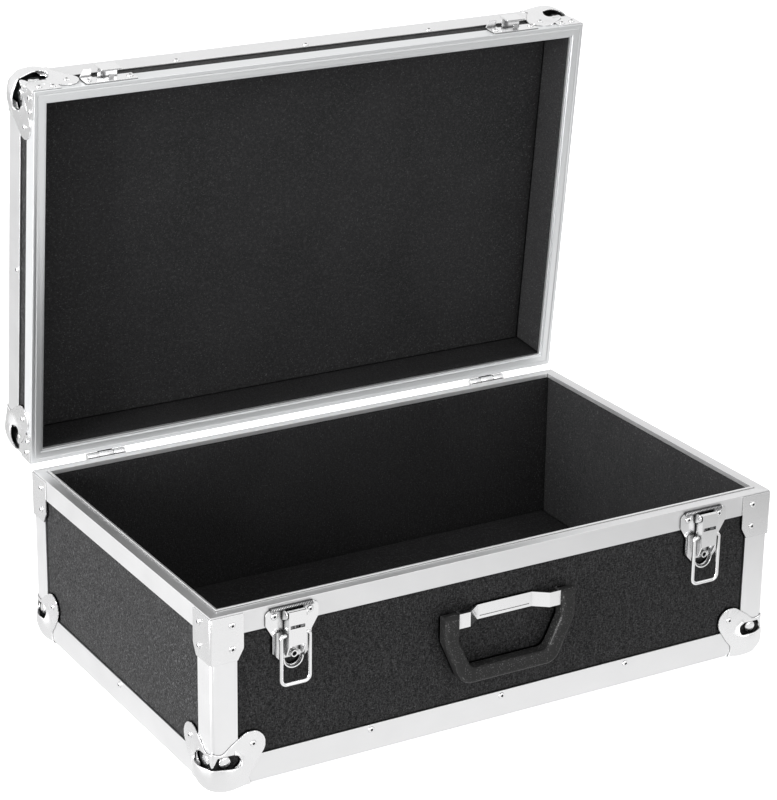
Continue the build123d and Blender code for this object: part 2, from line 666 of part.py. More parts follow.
lid = tray(lid_h, lid_rim_leg, recess + rim_web, recess + nose_h, lid_rim_outline, brace_lid, True)
lid_groups = {"corner_edging": [], "rim": []}
for name, shape in lid.items():
    shut = lid_shut(shape)
    kind = next((k for k in lid_groups if name.startswith(k)), None)
    if kind:
        lid_groups[kind].append(shut)
    else:
        add_lid("lid_" + name.replace("closed_panel", "top_panel"), shut)
for kind, shapes in lid_groups.items():
    add_lid("lid_" + kind, group(shapes))

add("hinge_base_leaves", group(at_hinges(hinge_leaf(-1))))
add_lid("hinge_lid_leaves", group(at_hinges(hinge_leaf(1))))
add("hinge_pins", group(at_hinges(rod(hinge_pin_r, -leaf_w / 2, leaf_w / 2))))

base_heads = tray_rivets(base_h, brace_base_rivets) + leaf_rivets(-1)
lid_heads = [lid_shut(head) for head in tray_rivets(lid_h, brace_lid_rivets)] + leaf_rivets(1)
latch_pins = []
catches = []
for label, side in (("left", -1), ("right", 1)):
    frame = latch_frame(side * latch_x, base_h - latch_drop)
    add("latch_plate_" + label, frame * latch_plate())
    add("latch_lever_" + label, frame * latch_lever())
    add("latch_bail_" + label, frame * latch_bail())
    latch_pins.append(frame * rod(latch_pin_r, -ear_in - ear_t, ear_in + ear_t, *latch_pin))
    base_heads += [frame * Pos(s * latch_rivet[0], latch_rivet[1], plate_t) * rivet() for s in (-1, 1)]
    base_heads.append(frame * Pos(0, foot_rivet_h, plate_t) * tube_rivet(*foot_rivet))
    shut_frame = latch_frame(side * latch_x, base_h + part_gap)
    catches.append(shut_frame * catch())
    spot = (catch_half - catch_rivet_in, (catch_low + catch_high) / 2, catch_t)
    lid_heads += [shut_frame * Pos(s * spot[0], *spot[1:]) * rivet() for s in (-1, 1)]
add("latch_pins", group(latch_pins))
add_lid("latch_catches", group(catches))
add("base_rivets", group(base_heads))
add_lid("lid_rivets", group(lid_heads))

add("handle_bracket", handle_frame * handle_bracket())
right_stud = handle_frame * handle_stud()
add("handle_studs", group([right_stud, mirror(right_stud, about=Plane.YZ)]))
add("handle_screws", group(screws))
add("handle_grip", handle_frame * handle_grip())

os.makedirs("parts", exist_ok=True)
for name, shape in parts.items():
    export_step(shape, "parts/" + name + ".step")
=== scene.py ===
"""Finish, fittings and studio for a hinged carrying case.

The case has ball corners, two draw latches and a handle; its lid stands open at rest.
"""

import json
import math

import bmesh
import bpy
import numpy as np
from bpy.props import FloatProperty, FloatVectorProperty, PointerProperty
from mathutils import Euler, Matrix, Vector


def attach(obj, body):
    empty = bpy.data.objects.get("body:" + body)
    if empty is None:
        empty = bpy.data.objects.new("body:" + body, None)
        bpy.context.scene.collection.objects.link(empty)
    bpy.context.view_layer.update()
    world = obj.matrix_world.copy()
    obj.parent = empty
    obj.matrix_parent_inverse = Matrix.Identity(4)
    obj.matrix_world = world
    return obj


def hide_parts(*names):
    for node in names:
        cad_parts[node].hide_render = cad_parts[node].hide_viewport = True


bl_info = {
    "name": "Pedal case dresser",
    "version": (1, 0, 0),
    "blender": (4, 5, 0),
    "location": "View3D > Sidebar > Case",
    "description": "Finishes, fittings and studio for a hinged carrying case",
    "category": "Object",
}

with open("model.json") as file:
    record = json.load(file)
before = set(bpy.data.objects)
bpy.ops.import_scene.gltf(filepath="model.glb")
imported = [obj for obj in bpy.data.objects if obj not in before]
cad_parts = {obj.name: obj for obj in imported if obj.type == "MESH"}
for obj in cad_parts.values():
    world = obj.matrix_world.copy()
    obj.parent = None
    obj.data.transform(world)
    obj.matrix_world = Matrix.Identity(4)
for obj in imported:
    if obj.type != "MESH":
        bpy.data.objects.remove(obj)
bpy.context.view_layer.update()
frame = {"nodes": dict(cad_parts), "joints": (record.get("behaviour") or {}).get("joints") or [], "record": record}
NODES = frame["nodes"]
JOINTS = {joint["name"]: joint for joint in frame["joints"]}
BODIES = frame["record"]["behaviour"]["bodies"]
BODY_OF = {node: body for body, members in BODIES.items() for node in members}
MM = 0.001

# The lid turns about this line; OPENING carries a point of the shut lid to its place at rest.
HINGE = Vector(JOINTS["lid_hinge"]["pos_m"])
LID_OPEN = math.radians(-JOINTS["lid_hinge"]["range_deg"][0])
OPENING = Matrix.Translation(HINGE) @ Matrix.Rotation(-LID_OPEN, 4, "X") @ Matrix.Translation(-HINGE)


class CaseFinish(bpy.types.PropertyGroup):
    """Colours of the case's materials."""

    laminate: FloatVectorProperty(
        name="Laminate", description="Colour of the panels' woven-grain facing",
        subtype="COLOR", min=0, max=1, default=(0.0085, 0.0085, 0.0088))
    fleck: FloatVectorProperty(
        name="Fleck", description="Colour of the light threads in the facing",
        subtype="COLOR", min=0, max=1, default=(0.125, 0.125, 0.13))
    lining: FloatVectorProperty(
        name="Lining", description="Colour of the felt that covers the foam",
        subtype="COLOR", min=0, max=1, default=(0.0168, 0.0168, 0.0172))
    aluminium: FloatVectorProperty(
        name="Aluminium", description="Colour of the edging and the rims",
        subtype="COLOR", min=0, max=1, default=(0.90, 0.90, 0.905))
    plated: FloatVectorProperty(
        name="Plated steel", description="Colour of the ball corners, braces and hinges",
        subtype="COLOR", min=0, max=1, default=(0.92, 0.92, 0.925))
    chrome: FloatVectorProperty(
        name="Chrome", description="Colour of the latches and the handle's bracket",
        subtype="COLOR", min=0, max=1, default=(0.93, 0.93, 0.935))
    # Oxide and painted shade: this colour blackens the rivets' broken stems, and paints the shade in their pits
    # and bores and, made a little lighter, in the dark coils on the latches.
    oxide_and_shade: FloatVectorProperty(
        name="Oxide", description="Colour of the rivets' broken stems and of the latch springs",
        subtype="COLOR", min=0, max=1, default=(0.03, 0.03, 0.032))
    grip: FloatVectorProperty(
        name="Grip", description="Colour of the handle's moulded grip",
        subtype="COLOR", min=0, max=1, default=(0.0095, 0.0095, 0.0095))


class CaseSizes(bpy.types.PropertyGroup):
    """Sizes of the pressed corners, the latch springs, which are dark coils that paint shade on the latches, and
    the felt, in metres.
    """

    ball: FloatProperty(
        name="Ball", description="Outside radius of the ball",
        subtype="DISTANCE", unit="LENGTH", default=0.024)
    proud_side: FloatProperty(
        name="Proud at the sides", description="How far the ball stands out from the walls",
        subtype="DISTANCE", unit="LENGTH", default=0.007)
    proud_foot: FloatProperty(
        name="Proud at the foot",
        description="How far the ball stands out from the bottom or the lid's top",
        subtype="DISTANCE", unit="LENGTH", default=0.008)
    ball_sheet: FloatProperty(
        name="Ball sheet", description="Metal of the ball",
        subtype="DISTANCE", unit="LENGTH", default=0.0015)
    mouth: FloatProperty(
        name="Mouth", description="Where the ball opens round the upright edge, from the corner",
        subtype="DISTANCE", unit="LENGTH", default=0.0212)
    lobe_sheet: FloatProperty(
        name="Lobe sheet", description="Metal of the lobes",
        subtype="DISTANCE", unit="LENGTH", default=0.0012)
    lobe_reach: FloatProperty(
        name="Lobe reach", description="Centre of a lobe's tip, from both edges",
        subtype="DISTANCE", unit="LENGTH", default=0.0357)
    lobe_tip: FloatProperty(
        name="Lobe tip", description="Radius of a lobe's tip",
        subtype="DISTANCE", unit="LENGTH", default=0.0133)
    lobe_root: FloatProperty(
        name="Lobe root", description="Centre of a lobe's root, from both edges",
        subtype="DISTANCE", unit="LENGTH", default=0.026)
    root_round: FloatProperty(
        name="Root radius", description="Radius of a lobe's root",
        subtype="DISTANCE", unit="LENGTH", default=0.016)
    skirt: FloatProperty(
        name="Skirt", description="How far the sheet follows each edge",
        subtype="DISTANCE", unit="LENGTH", default=0.036)
    # Wire of the dark coils that paint the shade along the latch plates' top edges.
    shade_coil_wire: FloatProperty(
        name="Spring wire", description="Radius of the wire of the latch springs",
        subtype="DISTANCE", unit="LENGTH", default=0.00046)
    cell: FloatProperty(
        name="Cell", description="Grid that the pressed corners are drawn on",
        subtype="DISTANCE", unit="LENGTH", default=0.0006)
    felt_round: FloatProperty(
        name="Felt rounding", description="Rounding of the lining's edges",
        subtype="DISTANCE", unit="LENGTH", default=0.0018)
    crown: FloatProperty(
        name="Crown", description="How much lower a pad is at its border than in the middle",
        subtype="DISTANCE", unit="LENGTH", default=0.0004)


class CaseStudio(bpy.types.PropertyGroup):
    """Camera, lamps and floor."""

    camera_place: FloatVectorProperty(
        name="Camera", description="Where the camera stands",
        subtype="TRANSLATION", unit="LENGTH", default=(-1.1562, -1.9371, 1.1020))
    camera_turn: FloatVectorProperty(
        name="Camera turn", description="Tilt, roll and heading of the camera",
        subtype="EULER",
        default=(math.radians(69.144), math.radians(-0.759), math.radians(-30.260)))
    lens: FloatProperty(
        name="Lens", description="Focal length in millimetres on a 36 mm sensor", default=122.14)
    key: FloatProperty(name="Key lamp", description="Power of the lamp on the left", default=220.0)
    fill: FloatProperty(name="Fill lamp", description="Power of the lamp at the front", default=17.0)
    sky: FloatProperty(name="Sky", description="Strength of the light from all round", default=1.0)
    room: FloatProperty(
        name="Room", description="Brightness of the white room that the metal mirrors", default=0.9)


# ---- materials ------------------------------------------------------------------------------------

BLACK = (0, 0, 0)
LINT = (0.5, 0.5, 0.5)
ROOM_SAMPLES = 8                    # rays that look for room round a point
COARSE, FINE = 330, 850             # laminate's grain along and across its threads, per metre
NAP_COARSE, NAP_FINE = 350, 1300    # the same of the felt
WEAVE_SPAN = (0.46, 0.72)           # where the laminate's weave goes from its ground to its top
POLISHED = (300, 300, 300)          # grain of polished metal, per metre
DRAWN_ALONG, DRAWN = 12, 2500       # drawn lines along and across a profile, per metre


class Surface:
    """A node material while it is being put together."""

    def __init__(self, name, colour, metallic, roughness, specular=0.5):
        self.material = bpy.data.materials.new(name)
        self.material.use_nodes = True
        self.nodes = self.material.node_tree.nodes
        self.links = self.material.node_tree.links
        self.shader = self.nodes["Principled BSDF"]
        self.shader.inputs["Base Color"].default_value = (*colour, 1)
        self.shader.inputs["Metallic"].default_value = metallic
        self.shader.inputs["Roughness"].default_value = roughness
        self.shader.inputs["Specular IOR Level"].default_value = specular
        self.place = self.nodes.new("ShaderNodeTexCoord").outputs["Object"]

    def add(self, kind, *sockets):
        """A node whose first input sockets are set to values or joined to other nodes' outputs."""
        node = self.nodes.new(kind)
        for socket, value in zip(node.inputs, sockets):
            self.feed(value, socket)
        return node

    def feed(self, value, socket):
        """Sets an input socket to a value, or joins it to another node's output."""
        if hasattr(value, "is_output"):
            self.links.new(value, socket)
        else:
            socket.default_value = value

    def scaled(self, scale):
        """Object coordinates scaled by axis."""
        node = self.add("ShaderNodeMapping", self.place)
        node.inputs["Scale"].default_value = scale
        return node.outputs[0]

    def noise(self, scale, detail=2.0, rough=0.5, place=None):
        node = self.nodes.new("ShaderNodeTexNoise")
        settings = {"Vector": place or self.place, "Scale": scale, "Detail": detail, "Roughness": rough}
        for word, value in settings.items():
            self.feed(value, node.inputs[word])
        return node.outputs["Fac"]

    def ranged(self, value, from_low, from_high, to_low=0.0, to_high=1.0):
        node = self.add("ShaderNodeMapRange", value, from_low, from_high, to_low, to_high)
        return node.outputs["Result"]

    def maths(self, operation, first, second):
        node = self.add("ShaderNodeMath", first, second)
        node.operation = operation
        return node.outputs[0]

    def mixed(self, factor, low, high):
        """A colour between two, each a colour or another node's output."""
        node = self.nodes.new("ShaderNodeMix")
        node.data_type = "RGBA"
        self.feed(factor, node.inputs[0])
        for value, socket in ((low, node.inputs[6]), (high, node.inputs[7])):
            self.feed((*value, 1) if isinstance(value, tuple) else value, socket)
        return node.outputs[2]

    def colour(self, value):
        self.links.new(value, self.shader.inputs["Base Color"])

    def openness(self, reach, low, high, floor=0.0):
        """From floor, where other surfaces crowd in within a reach, to 1 where there is room. Multiplied into a
        colour, it paints shade where the surfaces crowd in.
        """
        node = self.nodes.new("ShaderNodeAmbientOcclusion")
        node.samples = ROOM_SAMPLES
        node.inputs["Distance"].default_value = reach
        return self.ranged(node.outputs["AO"], low, high, floor, 1.0)

    def rough(self, value, low, high):
        self.links.new(self.ranged(value, 0.0, 1.0, low, high), self.shader.inputs["Roughness"])

    def bump(self, height, strength, depth):
        node = self.nodes.new("ShaderNodeBump")
        for word, value in (("Strength", strength), ("Distance", depth), ("Height", height)):
            self.feed(value, node.inputs[word])
        self.links.new(node.outputs[0], self.shader.inputs["Normal"])


def shade(colour, factor):
    return tuple(min(1.0, c * factor) for c in colour)


def laminate(finish):
    """Black facing with a fine woven grain and scattered light threads, with shade painted into it where other
    parts crowd in.
    """
    s = Surface("laminate", finish.laminate, 0, 0.5, 0.42)
    warp = s.noise(1.0, 2.0, 0.6, s.scaled((COARSE, COARSE, FINE)))
    weft = s.noise(1.0, 2.0, 0.6, s.scaled((FINE, FINE, COARSE)))
    weave = s.maths("MAXIMUM", warp, weft)
    fleck = s.ranged(s.noise(1.0, 1.0, 0.5, s.scaled((1800, 1800, 1000))), 0.62, 0.74)
    rare = s.ranged(s.noise(1.0, 0.0, 0.5, s.scaled((1000, 1000, 600))), 0.68, 0.76)
    low, high = shade(finish.laminate, 0.4), shade(finish.laminate, 1.9)
    ground = s.mixed(s.ranged(weave, *WEAVE_SPAN), low, high)
    threads = s.mixed(s.maths("MULTIPLY", fleck, 0.35), ground, tuple(finish.fleck))
    flecked = s.mixed(s.maths("MULTIPLY", rare, 0.35), threads, tuple(finish.fleck))
    # Painted shade: colour and sheen fade towards black where other parts crowd in, as beside the edging.
    share = s.openness(2.6 * MM, 0.55, 0.97)
    s.colour(s.mixed(share, BLACK, flecked))
    shine = s.ranged(weave, *WEAVE_SPAN, 0.1, 0.37)
    s.feed(s.maths("MULTIPLY", share, shine), s.shader.inputs["Specular IOR Level"])
    s.rough(weave, 0.4, 0.62)
    s.bump(s.maths("ADD", weave, s.noise(2600, 1.0, 0.5)), 0.45, 0.0003)
    return s.material


def felt(finish):
    """Short-napped black felt with a faint weave and a little lint."""
    s = Surface("felt", finish.lining, 0, 0.95, 0.0)
    nap = s.noise(1500, 2.0, 0.7)
    warp = s.noise(1.0, 1.0, 0.5, s.scaled((NAP_COARSE, NAP_COARSE, NAP_FINE)))
    weft = s.noise(1.0, 1.0, 0.5, s.scaled((NAP_FINE, NAP_FINE, NAP_COARSE)))
    weave = s.maths("MAXIMUM", warp, weft)
    woven = s.maths("MULTIPLY", s.ranged(weave, 0.45, 0.75), 0.6)
    patch = s.noise(11, 3.0, 0.5)
    tone = s.maths("ADD", woven, s.maths("MULTIPLY", patch, 0.5))
    cloth = s.mixed(tone, shade(finish.lining, 0.6), shade(finish.lining, 1.7))
    lint = s.ranged(s.noise(900, 0.0, 0.5), 0.70, 0.78)
    s.colour(s.mixed(s.maths("MULTIPLY", lint, 0.06), cloth, LINT))
    s.bump(s.maths("ADD", nap, weave), 0.6, 0.0003)
    return s.material


def metal(name, colour, low, high, stretch=POLISHED, crevice=1.6 * MM, opening=(0.3, 0.8),
          floor=0.12, hollow=None):
    """Metal of a roughness from low to high, with fine lines along the least stretched axis.

    Where surfaces crowd in within the crevice's reach, shade is painted into its colour, down to the floor's
    share.
    In a hollow of the given reach it mirrors less and shows its colour as a partly matt surface: painted light
    that stands in for light bouncing round inside the hollow.
    """
    s = Surface(name, colour, 1, low)
    lines = s.noise(1.0, 3.0, 0.6, s.scaled(stretch))
    cloud = s.noise(35, 2.0, 0.5)
    wear = s.maths("ADD", s.maths("MULTIPLY", lines, 0.7), s.maths("MULTIPLY", cloud, 0.3))
    s.rough(wear, low, high)
    unshaded_colour = s.mixed(cloud, shade(colour, 0.97), shade(colour, 1.03))
    # Painted shade: the colour fades to black where surfaces crowd in.
    s.colour(s.mixed(s.openness(crevice, *opening, floor), BLACK, unshaded_colour))
    if hollow:
        # Painted light: a hollow mirrors less and shows its colour, standing in for light bouncing round inside.
        s.feed(s.openness(hollow, 0.1, 0.6, 0.3), s.shader.inputs["Metallic"])
    s.bump(lines, 0.03, 0.0001)
    return s.material


def oxide_and_shade(finish):
    """Blackened steel of the rivets' broken stems; it also paints the shade in the rivets' pits and bores."""
    s = Surface("oxide_and_shade", finish.oxide_and_shade, 0.6, 0.45)
    s.rough(s.noise(900, 2.0, 0.5), 0.35, 0.6)
    return s.material


def moulded(finish):
    """Black moulded plastic with a fine spark-eroded grain."""
    s = Surface("moulded_grip", finish.grip, 0, 0.42, 0.22)
    grain = s.noise(1800, 2.0, 0.5)
    fleck = s.ranged(s.noise(900, 0.0, 0.5), 0.66, 0.74)
    plain = s.mixed(grain, shade(finish.grip, 0.8), shade(finish.grip, 1.25))
    s.colour(s.mixed(s.maths("MULTIPLY", fleck, 0.12), plain, LINT))
    s.rough(grain, 0.36, 0.5)
    s.bump(grain, 0.2, 0.0001)
    return s.material


# ---- helpers --------------------------------------------------------------------------------------

SAME_SPOT = 0.01 * MM       # vertices closer than this are one
FOLD = 35                   # degrees: a sharper edge than this is shaded sharp
SOFT_FOLD = 60              # the same for cloth and wire
BREAK_FROM = 40             # degrees: CAD edges sharper than this are broken
PROFILE_BREAK = 0.35 * MM   # width of the broken edges of profiles
FITTING_BREAK = 0.25 * MM   # the same of sheet fittings


def give(names, material):
    """Puts a material on CAD nodes."""
    for name in names:
        data = NODES[name].data
        data.materials.clear()
        data.materials.append(material)


def named(*words):
    return [name for name in NODES if any(word in name for word in words)]


def soften(names, width):
    """Breaks the sharp edges of CAD nodes, without touching their meshes."""
    for name in names:
        node = NODES[name]
        weld = node.modifiers.new("weld", "WELD")
        weld.merge_threshold = SAME_SPOT
        bevel = node.modifiers.new("bevel", "BEVEL")
        bevel.width = width
        bevel.segments = 2
        bevel.limit_method = "ANGLE"
        bevel.angle_limit = math.radians(BREAK_FROM)
        bevel.harden_normals = True


def node_points(node):
    """A CAD node's vertices in metres, the lid's turned back to where they are when it is shut."""
    mesh = NODES[node].data
    points = np.empty(len(mesh.vertices) * 3)
    mesh.vertices.foreach_get("co", points)
    points = points.reshape(-1, 3)
    if BODY_OF[node] == "lid":
        back = np.array(OPENING.inverted())
        points = points @ back[:3, :3].T + back[:3, 3]
    return points


def islands(node):
    """Lowest and highest corners of a CAD node's separate solids, the lid's when it is shut."""
    points = node_points(node)
    build = bmesh.new()
    build.from_mesh(NODES[node].data)
    build.verts.ensure_lookup_table()
    for vertex, point in zip(build.verts, points):
        vertex.co = point
    bmesh.ops.remove_doubles(build, verts=build.verts, dist=SAME_SPOT)
    build.verts.index_update()
    left = set(build.verts)
    boxes = []
    while left:
        reached = [left.pop()]
        for vertex in reached:
            near = {edge.other_vert(vertex) for edge in vertex.link_edges} & left
            left -= near
            reached.extend(near)
        corners = np.array([vertex.co for vertex in reached])
        boxes.append((corners.min(0), corners.max(0)))
    build.free()
    return boxes


def place(name, mesh, body, slot, materials, transform=None, angle=FOLD):
    """A new piece: shaded smooth up to an angle, put where it belongs and riding on a body."""
    for material in materials:
        if material.name not in mesh.materials:
            mesh.materials.append(material)
    mesh.shade_smooth()
    mesh.set_sharp_from_angle(angle=math.radians(angle))
    piece = bpy.data.objects.new(name, mesh)
    bpy.context.scene.collection.objects.link(piece)
    if body == "lid":
        piece.matrix_world = OPENING @ (transform or Matrix())
    elif transform:
        piece.matrix_world = transform
    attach(piece, body)
    return piece


def mesh_from(name, verts, faces):
    mesh = bpy.data.meshes.new(name)
    mesh.from_pydata([tuple(v) for v in verts], [], [tuple(int(i) for i in f) for f in faces])
    return mesh


def finished(name, build):
    """A bmesh made into a mesh."""
    mesh = bpy.data.meshes.new(name)
    build.to_mesh(mesh)
    build.free()
    return mesh


def decimated(name, mesh, share):
    """The mesh with a share of its faces."""
    holder = bpy.data.objects.new(name, mesh)
    bpy.context.scene.collection.objects.link(holder)
    holder.modifiers.new("decimate", "DECIMATE").ratio = share
    graph = bpy.context.evaluated_depsgraph_get()
    result = bpy.data.meshes.new_from_object(holder.evaluated_get(graph))
    bpy.data.objects.remove(holder)
    return result


# ---- pressed ball corners ---------------------------------------------------------------------------


def smooth_least(a, b, width):
    """The smaller of two distances, blended over a width."""
    mix = np.clip(0.5 + 0.5 * (b - a) / width, 0, 1)
    return b * (1 - mix) + a * mix - width * mix * (1 - mix)


def smooth_most(a, b, width):
    """The larger of two distances, blended over a width."""
    return -smooth_least(-a, -b, width)


def surface_net(field, low, high, cell):
    """Vertices and quads on a field's zero level, with a vertex in each cell that it crosses."""
    steps = np.arange(low, high, cell)
    values = field(np.stack(np.meshgrid(steps, steps, steps, indexing="ij"), -1))
    count = len(steps)
    inside = values < 0
    total = np.zeros((count - 1,) * 3 + (3,))
    hits = np.zeros((count - 1,) * 3)
    crossings = []
    for axis in range(3):
        first = [slice(None)] * 3
        second = [slice(None)] * 3
        first[axis], second[axis] = slice(0, -1), slice(1, None)
        a, b = values[tuple(first)], values[tuple(second)]
        crossed = inside[tuple(first)] != inside[tuple(second)]
        share = np.where(crossed, a / np.where(crossed, a - b, 1), 0)
        crossings.append((crossed, inside[tuple(first)]))
        others = [other for other in range(3) if other != axis]
        for shift in ((0, 0), (0, 1), (1, 0), (1, 1)):
            pick = [slice(None)] * 3
            offset = np.zeros(3)
            for other, step in zip(others, shift):
                pick[other] = slice(step, step + count - 1)
                offset[other] = step
            hit = crossed[tuple(pick)]
            spot = offset[None, None, None, :] + np.zeros(hit.shape + (3,))
            spot[..., axis] = share[tuple(pick)]
            total += spot * hit[..., None]
            hits += hit
    used = hits > 0
    index = np.full(hits.shape, -1)
    index[used] = np.arange(used.sum())
    verts = low + cell * (np.argwhere(used) + total[used] / hits[used][:, None])
    faces = []
    for axis, (crossed, starts_inside) in enumerate(crossings):
        u, v = (axis + 1) % 3, (axis + 2) % 3
        spots = np.argwhere(crossed)
        spots = spots[(spots[:, [u, v]] > 0).all(1) & (spots[:, [u, v]] < count - 1).all(1)]
        ring = []
        for step_u, step_v in ((1, 1), (0, 1), (0, 0), (1, 0)):
            cells = spots.copy()
            cells[:, u] -= step_u
            cells[:, v] -= step_v
            ring.append(index[tuple(cells.T)])
        quads = np.stack(ring, -1)
        outward = starts_inside[tuple(spots.T)]
        faces.append(np.where(outward[:, None], quads, quads[:, ::-1]))
    return draw_in(field, verts, cell), np.vstack(faces)


def draw_in(field, verts, cell, rounds=3, probe=0.05):
    """Moves vertices onto the field's zero level."""
    for _ in range(rounds):
        value = field(verts)
        ahead = [field(verts + probe * axis) for axis in np.eye(3)]
        behind = [field(verts - probe * axis) for axis in np.eye(3)]
        slope = (np.stack(ahead, -1) - np.stack(behind, -1)) / (2 * probe)
        step = np.clip(value, -cell / 3, cell / 3) / np.maximum((slope ** 2).sum(-1), 0.25)
        verts = verts - step[:, None] * slope
    return verts


class BallCorner:
    """One pressed corner in millimetres: the box fills the positive octant, its upright edge is Z."""

    edge_round = 3.0       # outside radius of the edging under it
    cut_off = 10.5         # where the panels' corner is cut off, as the sum of the three distances
    blend = 4.0            # how softly the ball runs into the lobes
    web_blend = 7.0        # how softly the skirts run into the lobes
    taper = 0.385          # slope of the skirts' free edges
    eye_v = (4.6, 9.0)     # a point on the tongue between the eyes, from the edge and over the mouth
    eye_end = (20.0, 3.9)  # middle of an eye's round end, measured in the same way
    eye_round = 5.6        # radius of that end
    slope_from = 20.5      # from here on the ball slopes into a lobe without a gap
    burr = 0.9             # how softly the sheet's cut edges are broken
    kept_share = 0.25      # share of the grid's faces that the mesh keeps

    def __init__(self, sizes):
        for word in ("ball", "ball_sheet", "mouth", "lobe_sheet", "lobe_reach", "lobe_tip", "lobe_root",
                     "root_round", "skirt", "cell"):
            setattr(self, word, getattr(sizes, word) / MM)
        side, foot = sizes.proud_side / MM, sizes.proud_foot / MM
        self.centre = self.ball - np.array([side, side, foot])
        self.proud = max(side, foot)

    def block(self, p):
        """Distance to the rounded corner of the box."""
        q = self.edge_round - p
        return np.linalg.norm(np.maximum(q, 0), axis=-1) + np.minimum(q.max(-1), 0) - self.edge_round

    def lobe(self, a, b):
        """Distance to a lobe's outline on one face: the hull of its root and its tip."""
        length = math.sqrt(2) * (self.lobe_reach - self.lobe_root)
        along = (a + b) / math.sqrt(2) - math.sqrt(2) * self.lobe_root
        across = np.abs(a - b) / math.sqrt(2)
        lean = (self.root_round - self.lobe_tip) / length
        rise = math.sqrt(1 - lean ** 2)
        k = along * rise - across * lean
        to_root = np.hypot(across, along) - self.root_round
        to_tip = np.hypot(across, along - length) - self.lobe_tip
        to_side = across * rise + along * lean - self.root_round
        return np.where(k < 0, to_root, np.where(k > length * rise, to_tip, to_side))

    def eye(self, a, b):
        """Distance to an eye's outline: a slot with a round end, cut slantwise beside the tongue."""
        across, above = self.eye_end
        slot = np.hypot(np.maximum(a - across, 0), b - above) - self.eye_round
        wide, high = self.eye_v
        slant = (wide * b - high * a) / math.hypot(wide, high)
        return np.maximum(slot, slant)

    def field(self, p):
        """Signed distance to the pressing."""
        far, high = p.max(-1), p[..., 2]
        block = self.block(p)
        ball = np.linalg.norm(p - self.centre, axis=-1) - self.ball
        lobes = np.full(far.shape, np.inf)
        for face in range(3):
            lobes = np.minimum(lobes, self.lobe(p[..., (face + 1) % 3], p[..., (face + 2) % 3]))
        ordered = np.sort(p, axis=-1)
        skirts = ordered[..., 2] + self.taper * ordered[..., 1] - self.skirt
        skirts = skirts / math.hypot(1, self.taper)
        outline = smooth_least(lobes, skirts, self.web_blend)

        core = np.maximum(block, (self.cut_off - p.sum(-1)) / math.sqrt(3))
        form = smooth_least(core - self.lobe_sheet, ball, self.blend)
        dome = np.maximum(np.maximum(form, -form - self.ball_sheet), -core)
        dome = np.maximum(dome, np.minimum(far - self.mouth, outline))
        sheet = smooth_most(np.maximum(block - self.lobe_sheet, -block), outline, self.burr)
        sheet = np.maximum(sheet, self.mouth - far)
        kept = high - self.mouth
        for face in range(2):
            across = p[..., 1 - face]
            near = np.maximum(self.slope_from - across, p[..., face] - self.lobe_sheet)
            kept = np.minimum(kept, near)
            eye = self.eye(across, high - self.mouth)
            eye = np.maximum(eye, p[..., face] - 2 * self.lobe_sheet)
            sheet = smooth_most(sheet, -eye, self.burr)
            dome = smooth_most(dome, -np.maximum(eye, self.mouth - high), self.burr)
        return np.minimum(np.maximum(dome, kept), sheet)

    def mesh(self):
        margin = 2 * self.cell
        low, high = -self.proud - margin, self.lobe_reach + self.lobe_tip + margin
        verts, faces = surface_net(self.field, low, high, self.cell)
        raw = mesh_from("ball_corner_raw", verts * MM, faces)
        return decimated("ball_corner", raw, self.kept_share)


def corner_places():
    """The eight corners: the name of the CAD node, and the transform that carries a corner there."""
    low, high = shut_span("base_edging_front", "base_edging_back", "base_rim_left", "base_rim_right")
    top = shut_span("lid_edging_front")[1][2]
    signs = {"front_left": (-1, -1), "front_right": (1, -1), "back_right": (1, 1), "back_left": (-1, 1)}
    flip = Matrix(((0, 1, 0, 0), (1, 0, 0, 0), (0, 0, -1, 0), (0, 0, 0, 1)))
    for turn, (name, (x, y)) in enumerate(signs.items()):
        spot = Vector((high[0] if x > 0 else low[0], high[1] if y > 0 else low[1], low[2]))
        about = Matrix.Rotation(turn * math.pi / 2, 4, "Z")
        yield "base_ball_corner_" + name, Matrix.Translation(spot) @ about
        spot.z = top
        yield "lid_ball_corner_" + name, Matrix.Translation(spot) @ about @ flip


def shut_span(*nodes):
    """Lowest and highest corner of CAD nodes together when the lid is shut."""
    points = np.vstack([node_points(node) for node in nodes])
    return points.min(0), points.max(0)


# ---- rivets -----------------------------------------------------------------------------------------

# Sections of rivet heads as (radius, height) in shares of the head's own, from the rim to the middle,
# and the band from which on they take the dark material: a blind rivet with its broken stem, a plain cap, a tube.
# The dark bands are partly the real broken stem and partly painted shade: the walls of a blind rivet's pit
# and the whole bore of a tube are painted dark for the shade inside them.
RIVETS = {
    "blind": (((1.00, 0.0), (1.00, 0.22), (0.90, 0.62), (0.68, 0.93), (0.50, 1.0), (0.40, 0.92),
               (0.33, 0.55), (0.30, 0.25), (0.14, 0.30), (0.0, 0.36)), 5),
    "cap": (((1.00, 0.0), (1.00, 0.3), (0.93, 0.62), (0.78, 0.84), (0.55, 0.96), (0.28, 0.99),
             (0.0, 1.0)), 9),
    "tube": (((1.00, 0.0), (1.00, 0.84), (0.94, 0.97), (0.80, 1.0), (0.64, 0.97), (0.55, 0.84),
              (0.52, 0.2), (0.0, 0.2)), 5),
}
RIVET_STEPS = 28
CAP_FROM = 4 * MM          # heads wider than this radius are caps
TUBE_FROM = 3 * MM         # heads higher than this are tubes
CAP_SPREAD = 1.28          # a cap's radius over that of its place holder
FULLER = 1.1               # a head's height over that of its place holder


